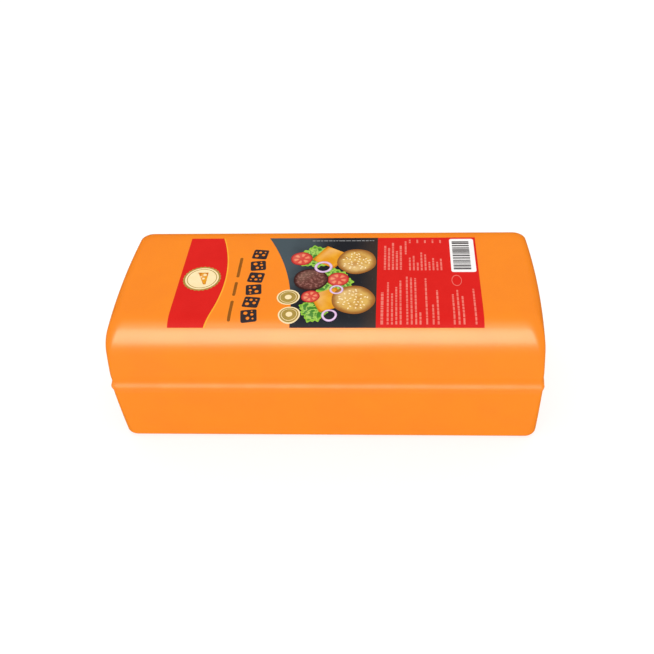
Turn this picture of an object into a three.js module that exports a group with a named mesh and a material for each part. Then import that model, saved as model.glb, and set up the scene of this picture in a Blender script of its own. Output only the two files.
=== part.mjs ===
/**
 * Catering loaf of burger cheese, sealed in a tight orange film, with a printed label lying over its top.
 *
 * Millimetres, +Z up. The origin is on the ground under the middle of the loaf. The front is the -Y side,
 * and +X runs along the length, to the right as seen from the front.
 */
import * as THREE from "three";

// The wrapped loaf, measured over the bead in which the film closes round it.
const LENGTH = 280;
const DEPTH = 118;
const HEIGHT = 93.3;

// The bead runs round the loaf at about half height, and the film is drawn in just above it.
const SEAM_HEIGHT = 47.7;
const BEAD_RISE = 0.85;
const BEAD_HALF_WIDTH = 2.4;
const PINCH_DEPTH = 0.5;
const PINCH_HALF_WIDTH = 4;
const PINCH_ABOVE_SEAM = 3;

// The wall is upright below the seam and leans in above it. The ends bow out in plan between their corners.
const UPPER_LEAN = 3.2;
const END_BOW = 3;

// The edges. The soft top edge follows a superellipse, whose power is 2 for a plain round and higher for
// a fuller shoulder, and reaches further in along the sides than at the ends. The base edge is a plain
// quarter of an ellipse.
const TOP_END_REACH = 10;
const TOP_SIDE_REACH = 19;
const TOP_EDGE_FALL = 21;
const TOP_EDGE_POWER = 2.5;
const BASE_EDGE_REACH = 4.5;
const BASE_EDGE_RISE = 4;

// The upright corners, tightest at the seam.
const SEAM_CORNER_RADIUS = 2.5;
const TOP_CORNER_RADIUS = 8;
const BASE_CORNER_RADIUS = 7;

// The label lies over the top and a little way down the front shoulder.
const LABEL_LENGTH = 192.4;
const LABEL_DEPTH = 87.2;
const LABEL_CENTRE_X = 1.4;
const LABEL_CENTRE_Y = -5.1;
const LABEL_THICKNESS = 0.3;
const LABEL_GAP = 0.3;

// Heights are rounded to this under the label, so that it is truly flat where the top all but is.
const HEIGHT_GRAIN = 0.001;

// How finely the curves are faceted, and how far from the seam its own rows reach.
const CORNER_STEPS = 5;
const SIDE_STEPS = 14;
const END_STEPS = 8;
const BASE_EDGE_STEPS = 4;
const LOWER_WALL_STEPS = 4;
const SEAM_STEPS = 16;
const UPPER_WALL_STEPS = 2;
const TOP_EDGE_STEPS = 10;
const LABEL_STEPS = 40;
const HEIGHT_PASSES = 5;
const SEAM_ZONE = 10;

const FILM_COLOUR = 0xff901a;
const FILM_ROUGHNESS = 0.38;
const PRINT_COLOUR = 0xe1211e;
const PRINT_ROUGHNESS = 0.42;

const QUARTER_TURN = Math.PI / 2;

/** A rounded hump of height 1 about x = 0. */
function hump(x, halfWidth) {
  return Math.exp(-((x / halfWidth) ** 2));
}

/** Evenly spaced values from start to end, both included. */
function spread(start, end, steps) {
  return Array.from({ length: steps + 1 }, (_, i) => THREE.MathUtils.lerp(start, end, i / steps));
}

/** How far the wall stands outside the reference outline at height z, before its edges are rounded. */
function wallOffset(z) {
  const above = z - SEAM_HEIGHT;
  const lean = UPPER_LEAN * Math.max(0, above / (HEIGHT - SEAM_HEIGHT));
  const bead = BEAD_RISE * hump(above, BEAD_HALF_WIDTH);
  const pinch = PINCH_DEPTH * hump(above - PINCH_ABOVE_SEAM, PINCH_HALF_WIDTH);
  return bead - pinch - lean;
}

// The rows about the seam lie closer and closer towards it. The loaf is widest over the bead's crest, so
// the reference outline lies that much further in.
const SEAM_RISES = spread(-1, 1, SEAM_STEPS).map((t) => SEAM_ZONE * t * Math.abs(t));
const CREST = Math.max(...SEAM_RISES.map((rise) => wallOffset(SEAM_HEIGHT + rise)));
const HALF_LENGTH = LENGTH / 2 - CREST;
const HALF_DEPTH = DEPTH / 2 - CREST;

/** Height of the top skin at y, closing in on it from the flat because the shoulder leans with the wall. */
function topHeight(y) {
  let z = HEIGHT;
  for (let pass = 0; pass < HEIGHT_PASSES; pass++) {
    const inwards = HALF_DEPTH + wallOffset(z) - Math.abs(y);
    const reach = Math.max(0, 1 - inwards / TOP_SIDE_REACH);
    z = HEIGHT - TOP_EDGE_FALL * (1 - (1 - reach ** TOP_EDGE_POWER) ** (1 / TOP_EDGE_POWER));
  }
  return Math.round(z / HEIGHT_GRAIN) * HEIGHT_GRAIN;
}

/** The section from the ground to the flat top: [inset at the ends, inset along the sides, height] rows. */
function loafSection() {
  const baseEdge = spread(0, QUARTER_TURN, BASE_EDGE_STEPS).map((angle) => {
    const inset = BASE_EDGE_REACH * (1 - Math.sin(angle));
    return [inset, inset, BASE_EDGE_RISE * (1 - Math.cos(angle))];
  });
  const seam = SEAM_RISES.map((rise) => SEAM_HEIGHT + rise);
  const lower = spread(BASE_EDGE_RISE, SEAM_HEIGHT - SEAM_ZONE, LOWER_WALL_STEPS).slice(1, -1);
  const upper = spread(SEAM_HEIGHT + SEAM_ZONE, HEIGHT - TOP_EDGE_FALL, UPPER_WALL_STEPS).slice(1, -1);
  const walls = [...lower, ...seam, ...upper].map((z) => [0, 0, z]);
  const topEdge = spread(0, QUARTER_TURN, TOP_EDGE_STEPS).map((angle) => {
    const inwards = 1 - Math.max(0, Math.cos(angle)) ** (2 / TOP_EDGE_POWER);
    const z = HEIGHT - TOP_EDGE_FALL * (1 - Math.sin(angle) ** (2 / TOP_EDGE_POWER));
    return [TOP_END_REACH * inwards, TOP_SIDE_REACH * inwards, z];
  });
  return [...baseEdge, ...walls, ...topEdge];
}

/** A rounded rectangle, anticlockwise from the -Y end of the +X side, with as many points at any size. */
function roundedRectangle(halfX, halfY, radius) {
  const points = [];
  for (let quarter = 0; quarter < 4; quarter++) {
    const alongY = quarter % 2 === 0;
    const normal = new THREE.Vector2(1, 0).rotateAround(new THREE.Vector2(), quarter * QUARTER_TURN);
    const along = new THREE.Vector2(-normal.y, normal.x);
    const reach = alongY ? halfX : halfY;
    const straight = (alongY ? halfY : halfX) - radius;
    for (const t of spread(-straight, straight, alongY ? END_STEPS : SIDE_STEPS)) {
      points.push(normal.clone().multiplyScalar(reach).addScaledVector(along, t));
    }
    const centre = normal.clone().multiplyScalar(reach - radius).addScaledVector(along, straight);
    for (const angle of spread(0, QUARTER_TURN, CORNER_STEPS).slice(1, -1)) {
      const spoke = normal.clone().multiplyScalar(radius).rotateAround(new THREE.Vector2(), angle);
      points.push(centre.clone().add(spoke));
    }
  }
  return points;
}

/** The radius of the upright corners at height z, which grows with the square of the way from the seam. */
function cornerRadius(z) {
  const above = z - SEAM_HEIGHT;
  const farRadius = above > 0 ? TOP_CORNER_RADIUS : BASE_CORNER_RADIUS;
  const way = above > 0 ? HEIGHT - SEAM_HEIGHT : SEAM_HEIGHT;
  return THREE.MathUtils.lerp(SEAM_CORNER_RADIUS, farRadius, (above / way) ** 2);
}

/** The loaf's outline at one height: a rounded rectangle whose ends bow outwards. */
function loafRing([endInset, sideInset, z]) {
  const halfX = HALF_LENGTH + wallOffset(z) - endInset;
  const halfY = HALF_DEPTH + wallOffset(z) - sideInset;
  return roundedRectangle(halfX, halfY, cornerRadius(z)).map(({ x, y }) => {
    const endBow = 1 - (END_BOW / HALF_LENGTH) * (y / HALF_DEPTH) ** 2;
    return new THREE.Vector3(x * endBow, y, z);
  });
}

/** A closed skin over anticlockwise rings stacked upwards, with a flat fan over each end. */
function loft(rings) {
  const count = rings[0].length;
  const last = rings.length - 1;
  const bottomCentre = rings.length * count;
  const topCentre = bottomCentre + 1;
  const faces = [];
  for (let j = 0; j < count; j++) {
    const next = (j + 1) % count;
    faces.push([bottomCentre, next, j], [topCentre, last * count + j, last * count + next]);
    for (let i = 0; i < last; i++) {
      const [low, high] = [i * count, (i + 1) * count];
      faces.push([low + j, low + next, high + next], [low + j, high + next, high + j]);
    }
  }
  const centres = [rings[0], rings[last]].map((ring) => new THREE.Vector3(0, 0, ring[0].z));
  const geometry = new THREE.BufferGeometry().setFromPoints([...rings.flat(), ...centres]);
  geometry.setIndex(faces.flat());
  geometry.computeVertexNormals();
  return geometry;
}

/** A named piece in its own finish. */
function piece(name, geometry, color, roughness) {
  const material = new THREE.MeshStandardMaterial({ color, roughness, metalness: 0 });
  const mesh = new THREE.Mesh(geometry, material);
  mesh.name = name;
  return mesh;
}

/** The cheese in its film: an upright lower half and a leaning upper one that meet in the bead. */
function cheeseLoaf() {
  return piece("cheese_loaf", loft(loafSection().map(loafRing)), FILM_COLOUR, FILM_ROUGHNESS);
}

/** The label: a thin sheet with the top's own section, carried along the loaf. */
function label() {
  const back = LABEL_CENTRE_Y + LABEL_DEPTH / 2;
  const front = LABEL_CENTRE_Y - LABEL_DEPTH / 2;
  const under = spread(front, back, LABEL_STEPS).map((y) => new THREE.Vector2(y, topHeight(y) + LABEL_GAP));
  const over = under.map(({ x, y }) => new THREE.Vector2(x, y + LABEL_THICKNESS)).reverse();
  const section = new THREE.Shape([...under, ...over]);
  const sheet = new THREE.ExtrudeGeometry(section, { depth: LABEL_LENGTH, bevelEnabled: false });
  const mesh = piece("label", sheet, PRINT_COLOUR, PRINT_ROUGHNESS);
  mesh.rotation.set(QUARTER_TURN, QUARTER_TURN, 0);
  mesh.position.x = LABEL_CENTRE_X - LABEL_LENGTH / 2;
  return mesh;
}

const part = new THREE.Group();
part.add(cheeseLoaf(), label());

export default part;
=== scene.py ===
"""A catering loaf of burger cheese, sealed in a tight orange film, with a printed label over its top.

Sizes are in millimetres, in the frame's own axes: +Z is up, the front is the -Y side, and +X runs to the
right as seen from the front. A mesh is turned into metres when it is made.
"""

import logging
import math
from collections.abc import Iterable
from dataclasses import dataclass
from enum import Enum
from functools import cache, cached_property

import bpy
import numpy as np
from mathutils import Matrix, Vector


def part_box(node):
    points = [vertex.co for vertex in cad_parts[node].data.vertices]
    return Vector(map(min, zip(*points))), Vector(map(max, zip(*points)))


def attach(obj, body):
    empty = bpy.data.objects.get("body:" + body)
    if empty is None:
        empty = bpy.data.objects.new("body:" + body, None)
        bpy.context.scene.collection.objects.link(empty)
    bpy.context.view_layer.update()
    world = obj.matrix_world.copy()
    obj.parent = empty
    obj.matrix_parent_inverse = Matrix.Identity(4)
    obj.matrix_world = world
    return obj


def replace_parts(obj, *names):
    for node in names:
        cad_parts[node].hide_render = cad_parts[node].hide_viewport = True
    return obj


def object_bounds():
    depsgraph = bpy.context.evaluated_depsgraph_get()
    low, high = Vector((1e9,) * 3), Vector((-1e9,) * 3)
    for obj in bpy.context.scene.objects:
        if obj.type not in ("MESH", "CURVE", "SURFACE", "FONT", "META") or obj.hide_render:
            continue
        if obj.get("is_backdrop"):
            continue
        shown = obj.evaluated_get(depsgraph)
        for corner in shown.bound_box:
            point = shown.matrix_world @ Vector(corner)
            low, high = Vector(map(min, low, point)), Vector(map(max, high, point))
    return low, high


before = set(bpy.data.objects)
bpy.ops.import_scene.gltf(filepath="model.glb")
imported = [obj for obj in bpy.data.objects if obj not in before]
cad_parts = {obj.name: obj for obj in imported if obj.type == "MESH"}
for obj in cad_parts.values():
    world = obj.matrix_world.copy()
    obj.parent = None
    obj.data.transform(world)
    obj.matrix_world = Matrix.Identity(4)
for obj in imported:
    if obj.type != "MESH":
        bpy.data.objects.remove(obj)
CAD_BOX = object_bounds()

Array = np.ndarray
Socket = bpy.types.NodeSocket
Colour = tuple[float, float, float, float]
Span = tuple[float, float]

MM = 0.001
BODY = "root"
SEED = 20
SHARP_ANGLE = math.radians(40)
SEAM_HEIGHT = 47.7
NOISE_MIDDLE = 0.5
PURE_WHITE = (1.0, 1.0, 1.0, 1.0)
LOG = logging.getLogger("cheese_loaf")

# A screen's own curve is straight up to its toe, and a power of the offset value from there on.
SCREEN_TOE, SCREEN_SLOPE, SCREEN_OFFSET, SCREEN_POWER = 0.04045, 12.92, 0.055, 2.4


def ink(red: int, green: int, blue: int) -> Colour:
    """The linear colour of a screen colour.

    Args:
        red, green, blue: the screen colour's channels, from 0 to 255.

    Returns:
        The colour, with an alpha of 1.
    """
    screen = np.array([red, green, blue]) / 255
    curved = ((screen + SCREEN_OFFSET) / (1 + SCREEN_OFFSET)) ** SCREEN_POWER
    linear = np.where(screen > SCREEN_TOE, curved, screen / SCREEN_SLOPE)
    return (*linear.tolist(), 1.0)


def hump(x: Array, half_width: float) -> Array:
    """A rounded hump of height 1 about x = 0: e to the power of minus (x / half_width) squared."""
    return np.exp(-((x / half_width) ** 2))


def ease(x: Array) -> Array:
    """Rises smoothly from 0 to 1 as x goes from 0 to 1: 3x² - 2x³."""
    held = np.clip(x, 0, 1)
    return held * held * (3 - 2 * held)


def placed(name: str, data: bpy.types.ID) -> bpy.types.Object:
    """Puts a new object in the scene.

    Args:
        name: the object's name.
        data: its mesh, light or camera.

    Returns:
        The object, at the origin.
    """
    item = bpy.data.objects.new(name, data)
    bpy.context.scene.collection.objects.link(item)
    return item


# Materials


class Slot(Enum):
    """The record's material slots."""

    ORANGE_FILM = "orange_film"
    RED_PRINT = "red_print"
    DARK_PRINT = "dark_print"
    GOLD_PRINT = "gold_print"
    LIGHT_PRINT = "light_print"
    PICTURE_PRINT = "picture_print"


class Value:
    """A number that varies over a surface. Arithmetic on it adds Math nodes to its material."""

    def __init__(self, graph: "Graph", socket: Socket) -> None:
        """Wraps one output socket of a graph."""
        self.graph = graph
        self.socket = socket

    def __add__(self, other: "Value | float") -> "Value":
        """This plus another."""
        return self.graph.math("ADD", self, other)

    def __sub__(self, other: "Value | float") -> "Value":
        """This less another."""
        return self.graph.math("SUBTRACT", self, other)

    def __rsub__(self, other: "Value | float") -> "Value":
        """Another less this."""
        return self.graph.math("SUBTRACT", other, self)

    def __mul__(self, other: "Value | float") -> "Value":
        """This times another."""
        return self.graph.math("MULTIPLY", self, other)

    __radd__ = __add__
    __rmul__ = __mul__

    def between(self, low: float, high: float) -> "Value":
        """A smooth rise from 0 to 1.

        Args:
            low: this value where the rise begins.
            high: this value where it ends.

        Returns:
            The value from 0 to 1.
        """
        settings = {"interpolation_type": "SMOOTHSTEP"}
        inputs = {"Value": self, "From Min": low, "From Max": high}
        return Value(self.graph, self.graph.add("ShaderNodeMapRange", settings, inputs).outputs["Result"])

    def blended(self, other: "Value", share: float) -> "Value":
        """This, with a share of another in its place."""
        return self * (1 - share) + other * share


class Graph:
    """The node graph of one material, which ends in one Principled shader."""

    def __init__(self, name: str) -> None:
        """Starts an empty graph.

        Args:
            name: the new material's name.
        """
        self.material = bpy.data.materials.new(name)
        self.material.use_nodes = True
        self.tree = self.material.node_tree
        self.tree.nodes.clear()

    def add(self, kind: str, settings: dict | None = None, inputs: dict | None = None) -> bpy.types.Node:
        """Adds a node of any kind.

        Args:
            kind: the node's type.
            settings: its properties, such as an operation, which are set first.
            inputs: a number, colour, Value or socket for each input, by its name or its place.

        Returns:
            The new node.
        """
        node = self.tree.nodes.new(kind)
        for name, setting in (settings or {}).items():
            setattr(node, name, setting)
        for key, value in (inputs or {}).items():
            source = value.socket if isinstance(value, Value) else value
            if isinstance(source, Socket):
                self.tree.links.new(source, node.inputs[key])
            else:
                node.inputs[key].default_value = source
        return node

    def math(self, operation: str, *operands: "Value | float") -> Value:
        """The result of one Math node on up to three operands."""
        node = self.add("ShaderNodeMath", {"operation": operation}, dict(enumerate(operands)))
        return Value(self, node.outputs[0])

    def vector_math(self, operation: str, *operands: object) -> Socket:
        """The result of one Vector Math node on vectors."""
        node = self.add("ShaderNodeVectorMath", {"operation": operation}, dict(enumerate(operands)))
        return node.outputs["Vector"]

    def mix(self, factor: Value, first: object, second: object) -> Socket:
        """A colour that goes from the first to the second as factor goes from 0 to 1."""
        node = self.add("ShaderNodeMix", {"data_type": "RGBA"}, {0: factor, 6: first, 7: second})
        return node.outputs[2]

    @cached_property
    def place(self) -> Socket:
        """A point's place in the frame, in metres."""
        return self.add("ShaderNodeTexCoord").outputs["Object"]

    def pattern(self) -> tuple[Value, Value]:
        """Reads the printed shape's own map.

        Returns:
            A point's two pattern coordinates, from -1 to 1 across the shape.
        """
        stored = self.add("ShaderNodeUVMap", {"uv_map": Skin.PATTERN_MAP}).outputs["UV"]
        across, along, _ = self.split(self.vector_math("MULTIPLY_ADD", stored, (2, 2, 0), (-1, -1, 0)))
        return across, along

    def split(self, vector: Socket) -> tuple[Value, Value, Value]:
        """The three numbers of a vector."""
        outputs = self.add("ShaderNodeSeparateXYZ", inputs={"Vector": vector}).outputs
        return Value(self, outputs[0]), Value(self, outputs[1]), Value(self, outputs[2])

    def noise(self, vector: Socket, scale: float, detail: float = 2.0) -> Value:
        """Soft random noise about 0.5, with that many features in a unit of the vector."""
        inputs = {"Vector": vector, "Scale": scale, "Detail": detail}
        return Value(self, self.add("ShaderNodeTexNoise", inputs=inputs).outputs[0])

    def mottle(self, size: float, detail: float = 2.0) -> Value:
        """Noise over the frame, whose features are that many mm in size."""
        return self.noise(self.place, 1 / (size * MM), detail)

    def bump(self, height: Value, depth: float) -> Socket:
        """A surface normal that follows a height from 0 to 1, where 1 stands for depth millimetres."""
        return self.add("ShaderNodeBump", inputs={"Height": height, "Distance": depth * MM}).outputs["Normal"]

    def finish(self, inputs: dict) -> bpy.types.Material:
        """Ends the graph in a Principled shader.

        Args:
            inputs: the shader's inputs, by name.

        Returns:
            The graph's material.
        """
        shader = self.add("ShaderNodeBsdfPrincipled", inputs=inputs)
        self.add("ShaderNodeOutputMaterial", inputs={"Surface": shader.outputs[0]})
        return self.material


@dataclass(frozen=True)
class FilmFinish:
    """Tight glossy film over orange cheese: soft mottling, a fine skin and faint stretch lines.

    Attributes:
        colour, deep: the film where the cheese shows through most evenly, and where it lies closest to it.
        mottle_size, mottle_span: how large the soft patches are, in mm, and the noise over which they deepen.
        grain_size, grain_span, grain_share: the same for the fine skin, and its share of the deepening.
        line_length, line_width, line_share: the stretch lines' size, in mm, and their share of the relief.
        relief: how deep the skin and the lines are together, in mm.
        roughness, roughness_spread: how rough the film is at its smoothest, and how much rougher it gets.
        seam_reach, seam_roughness: how far up and down the seam's welding shows, in mm, and its roughness.
        specular: how strongly the film mirrors.
    """

    name: str = "tight_film"
    colour: Colour = ink(255, 140, 4)
    deep: Colour = ink(252, 135, 2)
    mottle_size: float = 26.0
    mottle_span: Span = (0.35, 0.7)
    grain_size: float = 1.3
    grain_span: Span = (0.4, 0.7)
    grain_share: float = 0.3
    line_length: float = 70.0
    line_width: float = 2.6
    relief: float = 0.012
    line_share: float = 0.65
    roughness: float = 0.34
    roughness_spread: float = 0.06
    seam_height: float = SEAM_HEIGHT
    seam_reach: float = 7.0
    seam_roughness: float = 0.2
    specular: float = 0.3

    def material(self) -> bpy.types.Material:
        """Builds the material: noise on the frame's own coordinates, some of it stretched along X.

        Returns:
            The new material.
        """
        graph = Graph(self.name)
        patches = graph.mottle(self.mottle_size, detail=3)
        grain = graph.mottle(self.grain_size)
        stretch = (1 / (self.line_length * MM), 1 / (self.line_width * MM), 1 / (self.line_width * MM))
        lines = graph.noise(graph.vector_math("MULTIPLY", graph.place, stretch), 1.0, detail=1)
        skin = grain.between(*self.grain_span)
        shade = patches.between(*self.mottle_span).blended(skin, self.grain_share)
        _, _, height = graph.split(graph.place)
        seam = 1 - graph.math("ABSOLUTE", height - self.seam_height * MM).between(0.0, self.seam_reach * MM)
        unevenness = patches * grain * (2 * self.roughness_spread)
        return graph.finish(
            {
                "Base Color": graph.mix(shade, self.colour, self.deep),
                "Roughness": self.roughness + unevenness + seam * self.seam_roughness,
                "Specular IOR Level": self.specular,
                "Normal": graph.bump(grain.blended(lines, self.line_share), self.relief),
            }
        )


@dataclass(frozen=True)
class InkFinish:
    """An even field of printing ink, with a slight cloudiness and a fine dot in it.

    Attributes:
        colour, thin: the ink where it is fullest, and where it is thinnest.
        cloud_size, cloud_span: how large the cloudy patches are, in mm, and the noise over which they thin.
        dot_size, dot_span, dot_share: the same for the fine dots, and their share of the thinning.
    """

    name: str
    colour: Colour
    thin: Colour
    cloud_size: float = 9.0
    cloud_span: Span = (0.3, 0.75)
    dot_size: float = 0.8
    dot_span: Span = (0.35, 0.7)
    dot_share: float = 0.4
    relief: float = 0.006
    roughness: float = 0.46
    roughness_spread: float = 0.08
    specular: float = 0.05

    def material(self) -> bpy.types.Material:
        """Builds the material: two sizes of noise mix the full ink and the thin one.

        Returns:
            The new material.
        """
        graph = Graph(self.name)
        clouds = graph.mottle(self.cloud_size, detail=3)
        dots = graph.mottle(self.dot_size, detail=1)
        shade = clouds.between(*self.cloud_span).blended(dots.between(*self.dot_span), self.dot_share)
        return graph.finish(
            {
                "Base Color": graph.mix(shade, self.colour, self.thin),
                "Roughness": self.roughness + dots * self.roughness_spread,
                "Specular IOR Level": self.specular,
                "Normal": graph.bump(dots, self.relief),
            }
        )


@dataclass(frozen=True)
class SlateFinish:
    """The dark ground of the picture: slate that is lightest in its upper left and browns to the right.

    Attributes:
        dark: the slate over most of the panel.
        lit, lit_slope, lit_span: the slate in the upper left, how steep its edge is, and where it comes in.
        warm, warm_span: the slate at the right edge, and where it comes in.
        fleck, fleck_size, fleck_span, fleck_share: the light flecks, how far they are apart, in mm, the noise
            over which they show, and how much they cover.
        cloud_size, lit_waver, warm_waver: the clouds' size, in mm, and how much they break up those edges.
    """

    name: str = "dark_slate"
    dark: Colour = ink(36, 37, 42)
    lit: Colour = ink(74, 86, 92)
    lit_slope: float = 1.4
    lit_span: Span = (0.9, 2.2)
    warm: Colour = ink(62, 50, 44)
    warm_span: Span = (0.75, 1.25)
    fleck: Colour = ink(96, 98, 100)
    fleck_size: float = 2.4
    fleck_span: Span = (0.62, 0.8)
    fleck_share: float = 0.35
    cloud_size: float = 14.0
    lit_waver: float = 0.8
    warm_waver: float = 0.4
    roughness: float = 0.5
    roughness_spread: float = 0.1
    specular: float = 0.05

    def material(self) -> bpy.types.Material:
        """Builds the material: gradients over the panel's own map, with clouds and flecks of noise.

        Returns:
            The new material.
        """
        graph = Graph(self.name)
        across, along = graph.pattern()
        clouds = graph.mottle(self.cloud_size, detail=4)
        flecks = graph.mottle(self.fleck_size, detail=4).between(*self.fleck_span)
        upper_left = (along - across * self.lit_slope + clouds * self.lit_waver).between(*self.lit_span)
        right = (across + clouds * self.warm_waver).between(*self.warm_span)
        ground = graph.mix(upper_left, self.dark, self.lit)
        ground = graph.mix(right, ground, self.warm)
        return graph.finish(
            {
                "Base Color": graph.mix(flecks * self.fleck_share, ground, self.fleck),
                "Roughness": self.roughness + clouds * self.roughness_spread,
                "Specular IOR Level": self.specular,
            }
        )


class Motif(Enum):
    """What a printed food shows inside its rim, with the noise or wave over which it comes in.

    They are soft blotches as on a crust, pockets round the middle as in a sliced tomato, crumpled veins as on
    a leaf, and coarse crumbs as on grilled mince.
    """

    BLOTCHES = (0.42, 0.72)
    SPOKES = (-0.35, 0.35)
    VEINS = (0.0, 0.09)
    CRUMBS = (0.48, 0.62)


@dataclass(frozen=True)
class FoodFinish:
    """One kind of food in the printed picture: a flesh, a rim round it, and a motif in a third colour.

    Attributes:
        flesh, rim, accent: the colours inside, at the edge, and of the motif.
        motif, motif_size: what the motif is like, and how large, in mm.
        rim_start: where the rim begins, as a share of the way from the middle to the edge.
        spokes, spoke_waver: how many pockets there are round the middle, and how uneven they are.
        spoke_start, spoke_end: where they begin and end, as shares of the way to the edge.
        light, light_span, light_fade: how much lighter the side towards the upper left is, from 0 to 1, over
            which places that comes in, and where it fades out towards the edge.
    """

    name: str
    flesh: Colour
    rim: Colour
    accent: Colour
    motif: Motif
    rim_start: float = 0.7
    motif_size: float = 3.0
    spokes: int = 6
    spoke_waver: float = 1.5
    spoke_start: Span = (0.22, 0.4)
    spoke_end: Span = (0.62, 0.8)
    light: float = 0.25
    light_span: Span = (-0.2, 1.3)
    light_fade: Span = (0.5, 0.95)
    highlight: Colour = ink(255, 240, 205)
    roughness: float = 0.46
    roughness_spread: float = 0.04
    specular: float = 0.05

    def mask(self, graph: Graph, across: Value, along: Value, radius: Value) -> Value:
        """Where the motif shows.

        Args:
            graph: the material's graph.
            across: the pattern coordinate along the label.
            along: the pattern coordinate across it.
            radius: the distance from the middle, 1 at the edge.

        Returns:
            A value from 0 to 1.
        """
        noise = graph.mottle(self.motif_size, detail=4)
        span = self.motif.value
        if self.motif is Motif.SPOKES:
            turn = graph.math("ARCTAN2", along, across)
            wave = graph.math("SINE", turn * float(self.spokes) + noise * self.spoke_waver)
            ring = radius.between(*self.spoke_start) * (1 - radius.between(*self.spoke_end))
            return wave.between(*span) * ring
        if self.motif is Motif.VEINS:
            return 1 - graph.math("ABSOLUTE", noise - NOISE_MIDDLE).between(*span)
        return noise.between(*span)

    def material(self) -> bpy.types.Material:
        """Builds the material: rim, motif and a soft light from the upper left, on the shape's own map.

        Returns:
            The new material.
        """
        graph = Graph(self.name)
        across, along = graph.pattern()
        radius = graph.math("SQRT", across * across + along * along)
        body = graph.mix(self.mask(graph, across, along, radius), self.flesh, self.accent)
        body = graph.mix(radius.between(self.rim_start, 1.0), body, self.rim)
        lit = (along - across).between(*self.light_span) * (1 - radius.between(*self.light_fade))
        return graph.finish(
            {
                "Base Color": graph.mix(lit * self.light, body, self.highlight),
                "Roughness": self.roughness + radius * self.roughness_spread,
                "Specular IOR Level": self.specular,
            }
        )


class Palette(Enum):
    """The finishes of the loaf and of the label's inks, each with the record's slot that it takes."""

    FILM = FilmFinish(), Slot.ORANGE_FILM
    RED = InkFinish("red_ink", ink(223, 30, 24), ink(217, 25, 20)), Slot.RED_PRINT
    EDGING = InkFinish("yellow_ink", ink(252, 184, 56), ink(246, 172, 44)), Slot.GOLD_PRINT
    GOLD = InkFinish("gold_ink", ink(178, 150, 74), ink(164, 134, 58), cloud_size=4.0), Slot.GOLD_PRINT
    CREAM = InkFinish("cream_ink", ink(253, 232, 186), ink(250, 222, 166), cloud_size=5.0), Slot.LIGHT_PRINT
    WHITE = InkFinish("white_ink", ink(252, 250, 248), ink(244, 241, 238)), Slot.LIGHT_PRINT
    PINK = InkFinish("pink_ink", ink(241, 132, 118), ink(232, 106, 94)), Slot.LIGHT_PRINT
    BLACK = InkFinish("black_ink", ink(50, 42, 46), ink(60, 50, 50)), Slot.DARK_PRINT
    BROWN = InkFinish("brown_ink", ink(142, 84, 22), ink(156, 94, 26)), Slot.DARK_PRINT
    GREY = InkFinish("grey_ink", ink(150, 150, 152), ink(128, 128, 130)), Slot.LIGHT_PRINT
    SLATE = SlateFinish(), Slot.DARK_PRINT
    BUN = FoodFinish(
        "bun_print", ink(222, 178, 92), ink(158, 98, 40), ink(196, 140, 62),
        Motif.BLOTCHES, rim_start=0.62, motif_size=5.0,
    ), Slot.PICTURE_PRINT
    CHEESE = FoodFinish(
        "cheese_print", ink(228, 150, 22), ink(206, 120, 14), ink(238, 168, 44),
        Motif.BLOTCHES, rim_start=0.9, motif_size=7.0,
    ), Slot.PICTURE_PRINT
    PATTY = FoodFinish(
        "patty_print", ink(104, 58, 50), ink(58, 28, 26), ink(150, 98, 88),
        Motif.CRUMBS, rim_start=0.72, motif_size=1.7, light=0.1,
    ), Slot.DARK_PRINT
    TOMATO = FoodFinish(
        "tomato_print", ink(214, 74, 62), ink(176, 28, 26), ink(240, 142, 104),
        Motif.SPOKES, rim_start=0.8, light=0.12,
    ), Slot.RED_PRINT
    LEAF = FoodFinish(
        "leaf_print", ink(64, 132, 40), ink(150, 200, 62), ink(172, 212, 92),
        Motif.VEINS, rim_start=0.78, motif_size=4.2, light=0.1,
    ), Slot.PICTURE_PRINT
    ONION = FoodFinish(
        "onion_print", ink(232, 204, 232), ink(186, 132, 190), ink(214, 172, 214),
        Motif.BLOTCHES, rim_start=0.55, motif_size=3.0,
    ), Slot.LIGHT_PRINT

    @cache
    def material(self) -> bpy.types.Material:
        """The finish's material, made once and shared by every piece that has it."""
        finish, _ = self.value
        return finish.material()


# Meshes


def quads(index: Array) -> Array:
    """The quads of a grid of point numbers, anticlockwise where columns run along +X and rows along +Y."""
    corners = (index[:-1, :-1], index[:-1, 1:], index[1:, 1:], index[1:, :-1])
    return np.stack(corners, axis=-1).reshape(-1, 4)


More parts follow.
